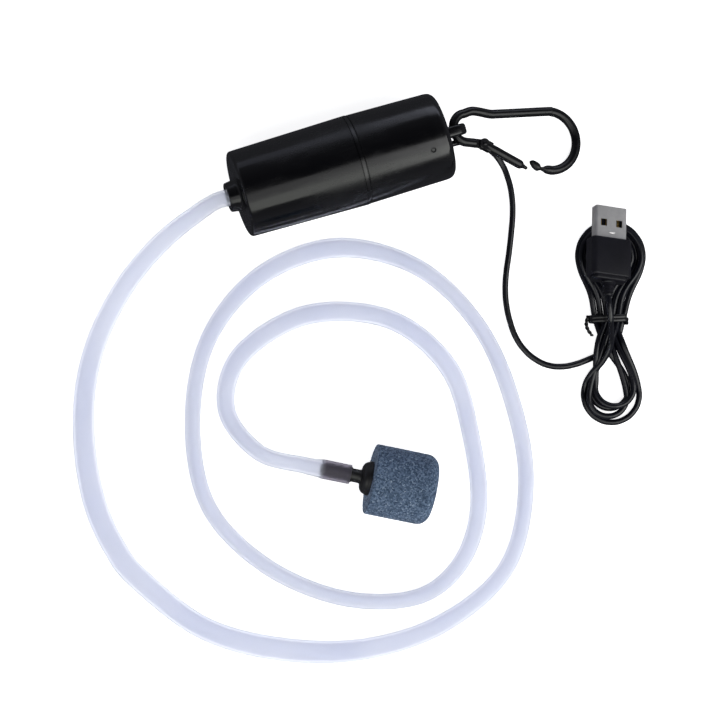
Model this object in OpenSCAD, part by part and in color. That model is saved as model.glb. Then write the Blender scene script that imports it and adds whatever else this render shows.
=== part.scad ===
/* [Case] */
// Length of the outlet half of the case
front_len = 44.4; // [40:0.2:60]
// Length of the cable half of the case
rear_len = 32.6; // [31:0.2:50]
// Outside diameter where the two halves meet
joint_d = 33; // [33:0.5:42]
// Outside diameter at the outlet end
front_d = 31.4; // [31:0.2:40]
// Outside diameter at the cable end
rear_d = 31.6; // [31:0.2:40]
// Wall thickness of both halves
wall = 1.8; // [1.4:0.1:2]
// Thickness of both end walls
end_wall = 2.2; // [1.6:0.1:3]
// Rounding of the edge at the outlet end
front_round = 1.2; // [0.6:0.1:1.6]
// Rounding of the edge at the cable end
rear_round = 3; // [1:0.25:3.5]
// Length of the spigot that joins the halves
spigot_len = 4; // [2:0.5:6]
// Distance of the air intake hole from the outlet end
intake_at = 69.4; // [60:0.2:71]
// Diameter of the air intake hole
intake_d = 1.2; // [0.6:0.1:2]

/* [Outlet boss] */
// How far the boss stands out of the end
boss_len = 4.3; // [3:0.1:8]
// Diameter of the boss at its root
boss_root_d = 14.4; // [11:0.2:18]
// Diameter of the boss at its rim
boss_rim_d = 10.7; // [9:0.1:14]

/* [Lug] */
// Distance of the eye's centre from the end wall
eye_reach = 3.9; // [3.5:0.1:8]
// Diameter of the hole through the eye
eye_d = 4.8; // [4.4:0.1:8]
// Material around the eye
eye_rim = 1.9; // [1.2:0.1:3]
// Thickness of the lug across the eye
lug_w = 4; // [2.5:0.25:5]

/* [Carabiner] */
// Wire diameter
wire_d = 3.3; // [2.4:0.1:3.6]
// Centre line radius of the small bend
small_bend = 5.2; // [4.5:0.1:8]
// Centre line radius of the large bend
large_bend = 10.7; // [9:0.1:14]
// Distance between the centres of the bends
bend_spacing = 33.4; // [28:0.2:50]
// Turn of the carabiner as it lies, in its own plane
lie_turn = -22.3; // [-30:0.1:-10]
// Diameter of the gate's rivet
rivet_d = 1.2; // [0.8:0.1:1.6]
// Thickness of the flattened end inside the gate's fork
tang_t = 1.3; // [1:0.1:1.6]

/* [Tube] */
// Outside diameter of the air tube
tube_d = 6; // [5:0.5:6.5]
// Bore of the air tube
tube_bore = 4; // [3:0.5:4.5]
// How far each fitting reaches into the tube
grip_len = 11; // [6:0.5:14]

/* [Air stone] */
// Diameter of the stone
stone_d = 25.4; // [18:0.2:32]
// Length of the stone
stone_len = 23.2; // [16:0.2:34]
// Rounding of the stone's far edge
stone_round = 4.5; // [2:0.5:7]

/* [USB lead] */
// Diameter of the cable
cable_d = 2.2; // [1.6:0.1:3]
// Width of the moulded grip
grip_w = 15.5; // [14:0.1:17]
// Thickness of the moulded grip
grip_t = 7.6; // [7:0.1:9]
// Length of the moulded grip
grip_l = 15.5; // [14:0.5:24]

/* [Pump head] */
// Diameter of the pump head
head_d = 26.4; // [26:0.1:27]
// Distance of the head's front face from the outlet end
head_at = 5.5; // [5.2:0.1:6.5]
// Thickness of the outlet cap
cap_t = 4; // [3.5:0.1:5]
// Thickness of the valve plate
valve_plate_t = 2; // [1.6:0.1:3]
// Thickness of the rubber sheet
sheet_t = 0.8; // [0.6:0.1:1.2]
// Outside diameter of each diaphragm cup
cup_d = 7.4; // [6.6:0.1:8]
// Depth of each cup behind the sheet
cup_depth = 5; // [4.5:0.1:6]
// Radius of the circle that the cups lie on
cup_circle = 7.5; // [7:0.1:8]
// Tilt of the crank pin, which is the stroke of the wobble plate
crank_tilt = 5; // [3:0.5:6]

/* [Motor] */
// Outside diameter of the motor can
can_d = 24.4; // [24:0.1:25]
// Length of the motor can
can_len = 30.8; // [28:0.2:34]
// Wall thickness of the motor can
can_wall = 0.9; // [0.6:0.1:1.2]
// Diameter of the motor shaft
shaft_d = 2; // [1.5:0.1:2.4]
// Radial running clearance of shafts and rivets
run_gap = 0.03; // [0.02:0.01:0.08]

/* [Hidden] */
$fn = 64;
eps = 0.01;

black = "#17181b";
steel = "#c4c8cc";
rubber = "#2b2d30";
white = "#e9e9e4";

// Case, measured along its axis from the outlet end
total_len = front_len + rear_len;
joint_r = joint_d / 2;
inner_r = joint_r - wall;
lip_t = wall / 2;
fit_gap = 0.1;
joint_line = 0.3;
band_w = 1.3;

// Carabiner, in its own plane: u away from the eye, v across
wire_r = wire_d / 2;
small_c = [small_bend - 0.15, 0];
large_c = small_c + bend_spacing * [cos(lie_turn), sin(lie_turn)];
far_u = large_c[0] + large_bend;
droop = asin((joint_r - wire_r) / far_u);
far_x = total_len + eye_reach + far_u * cos(droop) + wire_r;

// The frame stands on the table under the middle of pump and carabiner
axis_at = [-(far_x - boss_len) / 2, -(joint_r + large_c[1] - large_bend - wire_r) / 2, joint_r];

// Pump head, in order from the outlet
valve_at = head_at + cap_t;
sheet_at = valve_at + valve_plate_t;
cups_at = sheet_at + sheet_t;
cup_plate_t = cup_depth - 0.5;
base_at = cups_at + cup_plate_t;
pivot_at = base_at + 0.6;
plate_at = base_at + 1.5;
plate_t = 1.2;
hub_end = plate_at + 3.3;
eccentric_at = hub_end + 0.8;
eccentric_t = 1.8;
motor_at = eccentric_at + eccentric_t + 1.6;
base_floor = 1.2;
head_r = head_d / 2;
screw_circle = 11;
screw_r = 0.9;
port_r = 0.5;
stem_r = 0.8;

// Motor
can_r = can_d / 2;
can_in = can_r - can_wall;
can_end = motor_at + can_len;
shaft_r = shaft_d / 2;
bush_r = 3;
rear_bush_r = 2.4;
magnet_t = 2.1;
core_r = can_in - magnet_t - 0.6;
core_at = motor_at + 8.2;
core_len = 14;
comm_at = core_at + core_len + 3.4;
cap_spigot = 1.6;
end_cap_t = 1.8;

// Cable exit beside the lug
exit_y = -4;
exit_drop = 3.5;
cable_r = cable_d / 2;
knot_len = 5;
knot_end = total_len - end_wall - 1.8;
exit_x = axis_at[0] + total_len;

// Air stone and its nozzle
tube_r = tube_d / 2;
nozzle_r = tube_bore / 2 + 0.2;
nozzle_tip = -2.6;
barb_r = tube_bore / 2 + 0.5;
stem_len = 7.3;
stone_face = [-44.6, -106, stone_d / 2];
stone_turn = -28;

// Where the hank's tie sits, and which way the hank lies
hank_at = [56, -76];
hank_turn = 73.4;
hank_h = 2 * cable_d;
waist_w = 13.6;
waist_t = 5.4;
waist_round = 2.4;
waist_len = 14;
tie_t = 0.5;
tie_w = 4;
waist_z = waist_t / 2 + tie_t + 0.05;

// Plug, at the root of its metal shell
plug_at = [63.2, -48.7, 10.3];
plug_turn = [14, 14, 70];
usb_w = 12;
usb_t = 4.5;
usb_l = 12;
usb_wall = 0.3;
relief_l = 5.5;

// Route of the air tube from outlet to stone
tube_points = [
    [-77, 2.5, 15.6], [-103.5, -9.5, 9.2], [-124, -30, 3], [-136.5, -58, 3], [-140.5, -88, 3],
    [-133.5, -116, 3], [-116, -140, 3], [-91, -155.5, 3], [-62, -164, 3], [-32, -163, 3],
    [-5, -150.5, 3], [10, -124.5, 3], [14, -94.5, 3], [10, -64.5, 3], [-5, -38.5, 3],
    [-31, -23.5, 3], [-60.5, -25.5, 3], [-85, -42, 3], [-99, -69, 3], [-102, -99, 3],
    [-88.5, -125, 3], [-65.5, -144, 3], [-40, -151.5, 3], [-21.5, -145, 3], [-9, -128, 3],
    [-4, -103, 3], [-4.5, -76, 3], [-20, -53.5, 3], [-48, -43.5, 3], [-75, -50.5, 3],
    [-86, -67.5, 4.2], [-80, -85.5, 9.5],
];
// Route of the cable from the case to its hank
cable_points = [
    [22, 0, 11.2], [27, -1.7, 7.6], [32, -5.2, 3.6], [35.2, -11, 1.4], [36, -17.5, 1.1],
    [35.5, -23.5, 1.1], [34, -29.5, 1.1], [31.5, -36, 1.1], [28.5, -43, 1.1], [25.5, -49.5, 1.1],
    [23.5, -55, 1.1], [22.2, -61, 1.1], [21.8, -67, 1.1], [22.2, -72.5, 1.1], [24, -78, 1.1],
    [27, -82.5, 1.1], [31, -85.8, 1.1], [35.5, -87.5, 1.1], [40, -88, 1.1], [44.1, -87.8, 1.1],
];
// Route of the lead from the plug over the tie and down onto the hank
lead_points = [
    [55.5, -71.2, 15.9], [54.9, -75.6, 15], [54.2, -80, 12.2], [53.3, -84.6, 8.9], [52.1, -89, 6.2],
];

// ---- Curves ----
function arc(centre, r, from, to, steps = 8) =
    [for (i = [0:steps]) let(a = from + (to - from) * i / steps) centre + r * [cos(a), sin(a)]];
function unit(v) = v / norm(v);
function curve_point(p, i, t) = let(
        last = len(p) - 1,
        a = p[max(i - 1, 0)], b = p[i], c = p[min(i + 1, last)], d = p[min(i + 2, last)]
    ) 0.5 * (2 * b + (c - a) * t + (2 * a - 5 * b + 4 * c - d) * t ^ 2
        + (3 * b - a - 3 * c + d) * t ^ 3);
function smooth(p, steps) =
    [for (i = [0:len(p) - 2], k = [0:steps - 1]) curve_point(p, i, k / steps), p[len(p) - 1]];

// A closed tube round a path, with one radius for each of its points
module sweep(path, radii, sides) {
    last = len(path) - 1;
    rings = [for (i = [0:last]) let(
            ahead = unit(path[min(i + 1, last)] - path[max(i - 1, 0)]),
            side = unit(cross(ahead, [0, 0, 1])),
            up = cross(side, ahead)
        ) for (k = [0:sides - 1]) let(a = 360 * k / sides)
            path[i] + radii[i] * (cos(a) * side + sin(a) * up)];
    walls = [for (i = [0:last - 1], k = [0:sides - 1]) let(
            a = i * sides + k, b = i * sides + (k + 1) % sides
        ) [a, b, b + sides, a + sides]];
    ends = [[for (k = [sides - 1:-1:0]) k], [for (k = [0:sides - 1]) last * sides + k]];
    polyhedron(points = rings, faces = concat(walls, ends), convexity = 10);
}
module cord(path, d, sides) sweep(path, [for (p = path) d / 2], sides);

// ---- Placing ----
// Local z runs along the pump from its outlet end, and local -x is up
module on_axis(at = 0) translate(axis_at + [at, 0, 0]) rotate([0, 90, 0]) children();
module turned(points) rotate_extrude($fn = 96) polygon(points);
module disc(from, length, r, hole = 0) translate([0, 0, from]) difference() {
    cylinder(h = length, r = r);
    if (hole > 0) translate([0, 0, -1]) cylinder(h = length + 2, r = hole);
}
module round_three(radius, turn = 0)
    for (i = [0:2]) rotate(120 * i + turn) translate([radius, 0, 0]) children();
// Local x, y are the carabiner's plane at the eye
module on_carabiner()
    translate(axis_at + [total_len + eye_reach, 0, 0]) rotate([0, droop, 0]) children();
module on_stone() translate(stone_face) rotate([0, 90, stone_turn]) children();
module on_hank() translate(concat(hank_at, [0])) rotate(hank_turn) children();
module on_plug() translate(plug_at) rotate([0, 0, plug_turn[2]]) rotate([0, plug_turn[1], 0])
    rotate([plug_turn[0], 0, 0]) children();

// ---- Case ----
function front_r(s) = front_d / 2 + (joint_r - front_d / 2) * s / front_len;
function rear_r(s) = joint_r - 0.15 + (rear_d / 2 - joint_r + 0.15) * (s - front_len) / rear_len;
socket_r = tube_r + fit_gap;
lip_in = joint_r - lip_t;

module front_shell() color(black) on_axis() turned(concat(
    [[socket_r, end_wall], [socket_r, -boss_len + 0.4], [socket_r + 0.4, -boss_len]],
    arc([boss_rim_d / 2 - 0.6, -boss_len + 0.6], 0.6, -90, 0, 4),
    [[boss_rim_d / 2 + 0.25, -1.9]],
    arc([boss_root_d / 2, -0.001 - 1.2], 1.2, 180, 90, 5),
    arc([front_d / 2 - front_round, front_round], front_round, -90, 0),
    [[front_r(front_len - band_w - 0.25), front_len - band_w - 0.25],
     [front_r(front_len - band_w) - 0.22, front_len - band_w - 0.12],
     [front_r(front_len - band_w), front_len - band_w],
     [joint_r, front_len - 0.15], [joint_r - 0.15, front_len],
     [lip_in, front_len], [lip_in, front_len - spigot_len - 0.2],
     [inner_r, front_len - spigot_len - 0.2],
     [front_d / 2 - wall, end_wall + 1]],
    [[front_d / 2 - wall - 1, end_wall]]));

module rear_outline() turned(concat(
    [[0, total_len - end_wall]],
    [[rear_d / 2 - wall - 2, total_len - end_wall],
     [rear_d / 2 - wall, total_len - end_wall - 2],
     [inner_r, front_len + 1], [inner_r, front_len - spigot_len],
     [lip_in - fit_gap - 0.2, front_len - spigot_len],
     [lip_in - fit_gap, front_len - spigot_len + 0.4],
     [lip_in - fit_gap, front_len], [joint_r - 0.6, front_len],
     [joint_r - 0.6, front_len + joint_line], [rear_r(front_len) - 0.15, front_len + joint_line],
     [rear_r(front_len + joint_line), front_len + joint_line + 0.2]],
    arc([rear_d / 2 - rear_round, total_len - rear_round], rear_round, 0, 90),
    [[0, total_len]]));

module lug() {
    rim = eye_d / 2 + eye_rim;
    rotate([90, 0, 0]) linear_extrude(lug_w, center = true) polygon(concat(
        [[rim + 1.2, total_len - 1], [rim + 1.2, total_len]],
        arc([rim + 1.2, total_len + 1.2], 1.2, -90, -180, 4),
        arc([0, total_len + eye_reach], rim, 0, 180, 20),
        arc([-rim - 1.2, total_len + 1.2], 1.2, 0, -90, 4),
        [[-rim - 1.2, total_len - 1]]));
}

module rear_shell() color(black) on_axis() difference() {
    union() {
        rear_outline();
        lug();
        translate([exit_drop, exit_y, total_len - 1]) cylinder(h = 1.5, r = cable_r + 0.9);
    }
    translate([0, 0, total_len + eye_reach]) rotate([90, 0, 0])
        cylinder(h = 12, d = eye_d, center = true);
    translate([exit_drop, exit_y, total_len - 5]) cylinder(h = 10, r = cable_r + fit_gap);
    rotate(17.5) translate([-joint_r, 0, intake_at]) rotate([0, 90, 0]) {
        cylinder(h = 8, d = intake_d, center = true);
        translate([0, 0, joint_r - rear_r(intake_at) - 1])
            cylinder(h = 1.3, r1 = intake_d / 2 + 0.6, r2 = intake_d / 2);
    }
}

foam_from = motor_at + 1;
foam_len = can_len - 2;
foam_r = min(front_r(foam_from), rear_r(foam_from + foam_len)) - wall - fit_gap;
module foam_sleeve() color("#3c3f44") on_axis() disc(foam_from, foam_len, foam_r, can_r);

// ---- Pump head ----
chamber_at = head_at + cap_t - 2.5;
module screw_holes(r) round_three(screw_circle, 60) translate([0, 0, -1]) cylinder(h = 90, r = r);

module outlet_cap() color(rubber) on_axis() difference() {
    turned(concat(
        [[0, chamber_at - 1], [0, nozzle_tip], [nozzle_r - 0.35, nozzle_tip],
         [nozzle_r, nozzle_tip + 0.8], [nozzle_r, end_wall + 0.6], [5.2, end_wall + 0.6],
         [6.2, end_wall + 1.4], [6.6, head_at]],
        arc([head_r - 0.6, head_at + 0.6], 0.6, -90, 0, 3),
        [[head_r, valve_at], [9.6, valve_at], [9.6, chamber_at], [5.4, chamber_at], [5.4, valve_at],
         [4.2, valve_at], [4.2, chamber_at - 1]]));
    translate([0, 0, nozzle_tip - 1]) cylinder(h = chamber_at - nozzle_tip + 2, r = 1.1);
    round_three(cup_circle) translate([0, 0, head_at - 1]) cylinder(h = 3, r = port_r);
    screw_holes(screw_r + fit_gap);
}

module outlet_valve() color(white) on_axis() {
    disc(valve_at - 0.5, 0.5, 3.6);
    disc(valve_at - eps, valve_plate_t / 2, stem_r);
}

module valve_plate() color(white) on_axis() difference() {
    disc(valve_at, valve_plate_t, head_r);
    disc(valve_at - 1, valve_plate_t / 2 + 1 - eps, stem_r);
    round_three(2.4) translate([0, 0, valve_at - 1]) cylinder(h = valve_plate_t + 2, r = port_r);
    round_three(cup_circle) {
        translate([0, 0, valve_at - 1]) cylinder(h = valve_plate_t + 2, r = stem_r);
        round_three(1.6) translate([0, 0, valve_at - 1]) cylinder(h = valve_plate_t + 2, r = port_r);
    }
    screw_holes(screw_r + fit_gap);
}

module intake_valves() color("#b8b2a0") on_axis() round_three(cup_circle) {
    disc(sheet_at, 0.4, 2.5);
    disc(valve_at - 0.8, valve_plate_t + 0.8 + eps, stem_r);
}

module diaphragm() color("#d7d2c2") on_axis() {
    difference() {
        union() {
            disc(sheet_at, sheet_t, head_r);
            round_three(cup_circle) disc(sheet_at, cup_depth + sheet_t, cup_d / 2);
        }
        round_three(cup_circle) disc(sheet_at - 1, cup_depth + 1, cup_d / 2 - 0.7);
        screw_holes(screw_r + fit_gap);
    }
    round_three(cup_circle) {
        disc(cups_at + cup_depth - 0.4, plate_at + plate_t + 1.6 - cups_at - cup_depth, 0.8);
        disc(plate_at + plate_t + 0.9, 0.7, 1.5);
    }
}

module cup_plate() color(white) on_axis() difference() {
    disc(cups_at, cup_plate_t, head_r);
    round_three(cup_circle) disc(cups_at - 1, cup_plate_t + 2, cup_d / 2 + 0.3);
    disc(base_at - 1, 2, 1.7);
    screw_holes(screw_r + fit_gap);
}

module head_base() color(rubber) on_axis() difference() {
    disc(base_at, motor_at - base_at, head_r, bush_r + 0.2);
    difference() {
        disc(base_at - 1, motor_at - base_floor - base_at + 1, head_r - 1.2);
        round_three(screw_circle, 60) translate([0, -1.6, base_at - 2]) cube([4, 3.2, 20]);
        round_three(screw_circle, 60) translate([0, 0, base_at - 2]) cylinder(h = 20, r = 1.6);
    }
    round_three(screw_circle, 60) translate([0, 0, base_at - 1]) cylinder(h = 6, r = screw_r);
}

module head_screws() color(steel) on_axis() round_three(screw_circle, 60) difference() {
    union() {
        disc(head_at - 1.3, 1.3, 1.8);
        disc(head_at - eps, base_at + 5 - head_at + eps, screw_r);
    }
    translate([0, 0, head_at - 1.3]) cube([0.6, 2.2, 1.2], center = true);
    translate([0, 0, head_at - 1.3]) cube([2.2, 0.6, 1.2], center = true);
}

module wobble_plate() color("#dcdcd6") on_axis() difference() {
    union() {
        disc(plate_at, plate_t, 9.4);
        disc(plate_at, hub_end - plate_at, 2.4);
        translate([0, 0, pivot_at]) sphere(r = 1.2);
        disc(pivot_at, plate_at - pivot_at + eps, 1.1);
    }
    round_three(10, 60) disc(plate_at - 1, plate_t + 2, 5);
    round_three(cup_circle) disc(plate_at - 1, plate_t + 2, 1.25);
    disc(plate_at + 0.7, 4, 1.7);
}

module crank_axis() translate([0, 0, pivot_at]) rotate([0, crank_tilt, 0]) children();
module crank_pin() color(steel) on_axis() crank_axis() translate([0, 0, 2])
    cylinder(h = eccentric_at - 0.9 - pivot_at, r = 0.6);
module eccentric() color(white) on_axis() difference() {
    disc(eccentric_at, eccentric_t, 3);
    crank_axis() cylinder(h = eccentric_at + 1.4 - pivot_at, r = 0.6);
    disc(eccentric_at + 1.2, 3, shaft_r);
}

// ---- Motor ----
module motor_can() color(steel) on_axis() difference() {
    disc(motor_at, can_len, can_r);
    disc(motor_at + can_wall, can_len, can_in);
    disc(motor_at - 1, 3, bush_r);
}
module front_bush() color("#b08d4a") on_axis() disc(motor_at - 0.9, 3.6, bush_r, shaft_r + run_gap);
module rear_bush() color("#b08d4a") on_axis()
    disc(can_end - cap_spigot, cap_spigot + end_cap_t + 0.5, rear_bush_r, shaft_r + run_gap);
module motor_end_cap() color(white) on_axis() difference() {
    union() {
        disc(can_end, end_cap_t, can_r);
        disc(can_end - cap_spigot, cap_spigot + eps, can_in);
    }
    disc(can_end - 5, 10, rear_bush_r);
}
module magnets() color("#3a3a3c") on_axis() for (turn = [0, 180]) rotate(turn - 60)
    translate([0, 0, core_at - 1.5]) rotate_extrude(angle = 120, $fn = 96)
        translate([can_in - magnet_t, 0]) square([magnet_t, core_len + 3]);
module motor_shaft() color(steel) on_axis()
    disc(eccentric_at + 1.2, can_end + end_cap_t + 0.9 - eccentric_at - 1.2, shaft_r);
// Three poles on a hub, drawn as one outline
pole_half = 46;
neck_half = 1.5;
hub_r = 3;
tip_in = core_r - 1.3;
module armature_core() color("#6d7075") on_axis() translate([0, 0, core_at]) difference() {
    linear_extrude(core_len) polygon([for (i = [0:2]) let(
            turn = 120 * i, neck = asin(neck_half / tip_in), foot = asin(neck_half / hub_r)
        ) each concat(
            arc([0, 0], core_r, turn - pole_half, turn + pole_half, 12),
            arc([0, 0], tip_in, turn + pole_half, turn + neck, 5),
            arc([0, 0], hub_r, turn + foot, turn + 120 - foot, 5),
            arc([0, 0], tip_in, turn + 120 - neck, turn + 120 - pole_half, 5))]);
    translate([0, 0, -1]) cylinder(h = core_len + 2, r = shaft_r);
}
module windings() color("#a8532a") on_axis() for (i = [0:2]) rotate(120 * i)
    translate([3.3, 0, core_at + core_len / 2]) difference() {
        translate([0, -2.9, -core_len / 2 - 1.4]) cube([core_r - 5.3, 5.8, core_len + 2.8]);
        cube([12, 3, core_len], center = true);
    }
module commutator() color("#b87333") on_axis() difference() {
    disc(comm_at, 3, 3, shaft_r);
    for (i = [0:2]) rotate(120 * i + 60) translate([2.2, -0.2, comm_at - 1]) cube([2, 0.4, 5]);
}
module brushes() color("#c9a35a") on_axis() for (side = [0, 180]) rotate(side)
    translate([-1.2, 3.05, comm_at + 0.4]) cube([2.4, 0.3, can_end - cap_spigot - comm_at - 0.4]);
terminal_y = 7;
terminal_end = can_end + end_cap_t + 4;
module terminals() color(steel) on_axis() for (side = [-1, 1])
    translate([-1, side * terminal_y - 0.25, can_end + end_cap_t]) cube([2, 0.5, 4]);
knot_at = knot_end - knot_len;
module lead_wires() color("#8c2020") for (side = [-1, 1]) cord([
    for (p = concat([[terminal_end, side * terminal_y, 0]], smooth([
        [terminal_end + 0.4, side * terminal_y, 0],
        [terminal_end + 1.8, side * terminal_y * 0.9, -0.5],
        [knot_at - 1.8, exit_y + side * 1.4, -exit_drop + 0.3],
        [knot_at - 0.3, exit_y + side * 0.9, -exit_drop]], 3),
        [[knot_at, exit_y + side * 0.9, -exit_drop]])) axis_at + p], 1, 8);
module cable_knot() color(black) on_axis() translate([exit_drop, exit_y, knot_at])
    rotate_extrude() polygon(concat([[0, 0]], arc([1.6, 1.4], 1.4, -90, 0, 4),
        arc([1.6, knot_len - 1.4], 1.4, 0, 90, 4), [[0, knot_len]]));

// ---- Carabiner ----
// Angle between the back and the line through the bends
spread = asin((large_bend - small_bend) / bend_spacing);
top_from = lie_turn + 90 + spread;
// Short arm from the small bend down to the gate's rivet
arm_turn = -20;
arm_len = 7;
pivot_uv = small_c + small_bend * [cos(arm_turn - 90), sin(arm_turn - 90)]
    + arm_len * [cos(arm_turn), sin(arm_turn)];
// Nose with its narrow neck, and the gate that ends just short of it
nose_turn = -104;
nose_len = 8.2;
nose_gap = 3.3;
nose_dip = 3.5;
neck_r = 0.6;
knob_r = 1.5;
function lie(p) = [p[0] * cos(lie_turn) - p[1] * sin(lie_turn), p[0] * sin(lie_turn) + p[1] * cos(lie_turn)];
nose_root = large_c + large_bend * [cos(nose_turn), sin(nose_turn)];
to_nose = nose_root - lie([nose_len, 0]) - pivot_uv;
gate_turn = atan2(to_nose[1], to_nose[0]) - nose_dip;
gate_len = norm(to_nose) - nose_gap;
tang_past = 1.6;
function flat(points) = [for (p = points) [p[0], p[1], 0]];

// Shoulder of the back, as shares of the small bend's radius along and across the carabiner
shoulder = [[0.3, 1.22], [0.98, 1.25], [1.74, 1.22], [2.52, 1.35]];
// Steps along the nose and the wire's radius at each
nose_steps = [[2, wire_r], [4, neck_r], [4.6, neck_r], [5.6, knob_r], [7, knob_r * 0.9], [8.2, 0.5]];
wire_path = concat(
    [pivot_uv + tang_past * [cos(arm_turn), sin(arm_turn)],
     pivot_uv - 3.8 * [cos(arm_turn), sin(arm_turn)]],
    arc(small_c, small_bend, arm_turn - 90, -278, 14),
    smooth(concat([for (p = shoulder) small_c + small_bend * lie(p)],
        [large_c + large_bend * [cos(top_from), sin(top_from)]]), 2),
    arc(large_c, large_bend, top_from - 8, nose_turn, 20));
module carabiner_frame() color(black) on_carabiner() difference() {
    sweep(flat(concat(wire_path, [for (n = nose_steps) nose_root - lie([n[0] * nose_len / 8.2, 0])])),
        concat([for (p = wire_path) wire_r], [for (n = nose_steps) n[1]]), 12);
    for (side = [-1, 1]) translate([pivot_uv[0], pivot_uv[1], side * (tang_t / 2 + 3)])
        cylinder(h = 6, r = 3.6, center = true);
    translate([pivot_uv[0], pivot_uv[1], -5]) cylinder(h = 10, d = rivet_d);
}
fork_r = wire_r + 0.35;
fork_t = wire_d - 0.5;
module carabiner_gate() color(black) on_carabiner() translate(pivot_uv) rotate(gate_turn) difference() {
    union() {
        rotate([0, 90, 0]) translate([0, 0, 2]) cylinder(h = gate_len - 2, r = wire_r);
        translate([0, 0, -fork_t / 2]) cylinder(h = fork_t, r = fork_r);
        translate([0, -fork_r + eps, -fork_t / 2]) cube([3, 2 * (fork_r - eps), fork_t]);
    }
    translate([-4, -4, -tang_t / 2 - 0.12]) cube([7.2, 8, tang_t + 0.24]);
    translate([0, 0, -4]) cylinder(h = 8, r = rivet_d / 2 + run_gap);
}
module gate_rivet() color(steel) on_carabiner() translate(pivot_uv) {
    translate([0, 0, -wire_r]) cylinder(h = wire_d, d = rivet_d);
    for (side = [-1, 1]) translate([0, 0, side * (wire_r + 0.05)])
        cylinder(h = 0.3, r = rivet_d / 2 + 0.3, center = true);
}

// ---- Air tube and stone ----
stone_dir = [cos(stone_turn), sin(stone_turn), 0];
tube_start = axis_at + [nozzle_tip, 0, 0];
tube_end = stone_face - (stem_len + grip_len) * stone_dir;
module air_tube() color("#dfe6f2") {
    cord(concat([tube_start], smooth(concat([tube_start - [1, 0, 0], tube_start - [7, 0, 0]], tube_points,
        [tube_end - 7 * stone_dir, tube_end - stone_dir]), 2), [tube_end]), tube_d, 12);
    on_axis() disc(nozzle_tip, end_wall + 0.5 - nozzle_tip, tube_r, nozzle_r);
    on_stone() disc(-stem_len - grip_len, grip_len, tube_r + 0.4, barb_r);
}
module stone_nozzle() color(rubber) on_stone() turned(concat(
    [[0, 1.5], [3, 1.5], [3, 0], [6.2, 0], [6.2, -0.6]], arc([3.4, -0.6], 2.8, 0, -75, 6),
    [[barb_r - 0.1, -3.3], [barb_r - 0.1, -stem_len], [barb_r, -stem_len]],
    [for (i = [0:2]) each [[barb_r, -stem_len - grip_len * i / 3.3 - 0.3],
                           [barb_r - 0.35, -stem_len - grip_len * (i + 1) / 3.3]]],
    [[barb_r - 0.9, -stem_len - grip_len], [0, -stem_len - grip_len]]));
module air_stone() color("#4d5f7c") on_stone() turned(concat(
    [[3, 0], [stone_d / 2 - 0.4, 0], [stone_d / 2, 0.4]],
    arc([stone_d / 2 - stone_round, stone_len - stone_round], stone_round, 0, 90),
    [[0, stone_len], [0, 1.5], [3, 1.5]]));

// ---- USB lead ----
module usb_cable() color(black) cord(smooth(concat(
    [[exit_x - total_len + knot_end, axis_at[1] + exit_y, joint_r - exit_drop],
     [exit_x + 2, axis_at[1] + exit_y, joint_r - exit_drop]], cable_points), 1), cable_d, 8);

module lobe(at, r) hull() {
    translate(at) circle(r, $fn = 40);
    translate([9 * sign(at[0]), 0]) circle(waist_w / 2 - 0.6, $fn = 32);
}
module cable_hank() color(black) on_hank() {
    linear_extrude(hank_h) {
        lobe([22.5, -1.2], 12.8);
        lobe([-27.2, -1.4], 11.2);
    }
    translate([-waist_len / 2, 0, waist_z]) rounded_bar(waist_len, waist_w, waist_t, waist_round);
}
module cable_tie() color("#101012") on_hank() {
    translate([-tie_w / 2, 0, waist_z]) difference() {
        rounded_bar(tie_w, waist_w + 2 * tie_t, waist_t + 2 * tie_t, waist_round + tie_t);
        translate([-1, 0, 0]) rounded_bar(tie_w + 2, waist_w, waist_t, waist_round);
    }
    translate([0, waist_w / 2 + tie_t - 0.1, waist_z]) rotate([-90, 0, 0]) cylinder(h = 4.5, r = 0.7);
}
plug_dir = [cos(plug_turn[2]) * cos(plug_turn[1]), sin(plug_turn[2]) * cos(plug_turn[1]), -sin(plug_turn[1])];
lead_start = plug_at - (grip_l + relief_l) * plug_dir;
module plug_lead() color(black)
    cord(concat([lead_start, lead_start - plug_dir], lead_points), cable_d, 8);

module rounded_bar(length, w, t, r) rotate([90, 0, 90]) linear_extrude(length) polygon([
    for (c = [[1, 1, 0], [-1, 1, 90], [-1, -1, 180], [1, -1, 270]])
        each arc([c[0] * (w / 2 - r), c[1] * (t / 2 - r)], r, c[2], c[2] + 90, 5)]);
module plug_grip() color(black) on_plug() union() {
    translate([-grip_l + 1.5, 0, 0]) rounded_bar(grip_l - 1.5, grip_w, grip_t, 1.8);
    translate([-grip_l, 0, 0]) rounded_bar(1.5 + eps, grip_w - 2.4, grip_t - 1.6, 1.6);
}
module plug_relief() color(black) on_plug() translate([-grip_l, 0, 0]) rotate([0, -90, 0])
    cylinder(h = relief_l, r1 = 2.6, r2 = 1.5);
module plug_shell() color(steel) on_plug() difference() {
    rounded_bar(usb_l, usb_w, usb_t, 0.6);
    translate([-1, 0, 0]) rounded_bar(usb_l + 2, usb_w - 2 * usb_wall, usb_t - 2 * usb_wall, 0.3);
    for (side = [-1, 1], face = [-1, 1]) translate([5.8, side * 3, face * usb_t / 2])
        cube([2.6, 2.4, 1.5], center = true);
}
module plug_tongue() color(white) on_plug() translate([0, -usb_w / 2 + 2 * usb_wall, -usb_t / 2 + usb_wall])
    cube([usb_l - 0.6, usb_w - 4 * usb_wall, 1.9]);
module plug_contacts() color("#c8a24a") on_plug()
    for (c = [[-3.5, 7.4], [-1, 6.4], [1, 6.4], [3.5, 7.4]])
        translate([usb_l - 1.4 - c[1], c[0] - 0.5, -usb_t / 2 + usb_wall + 1.9]) cube([c[1], 1, 0.15]);

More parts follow.
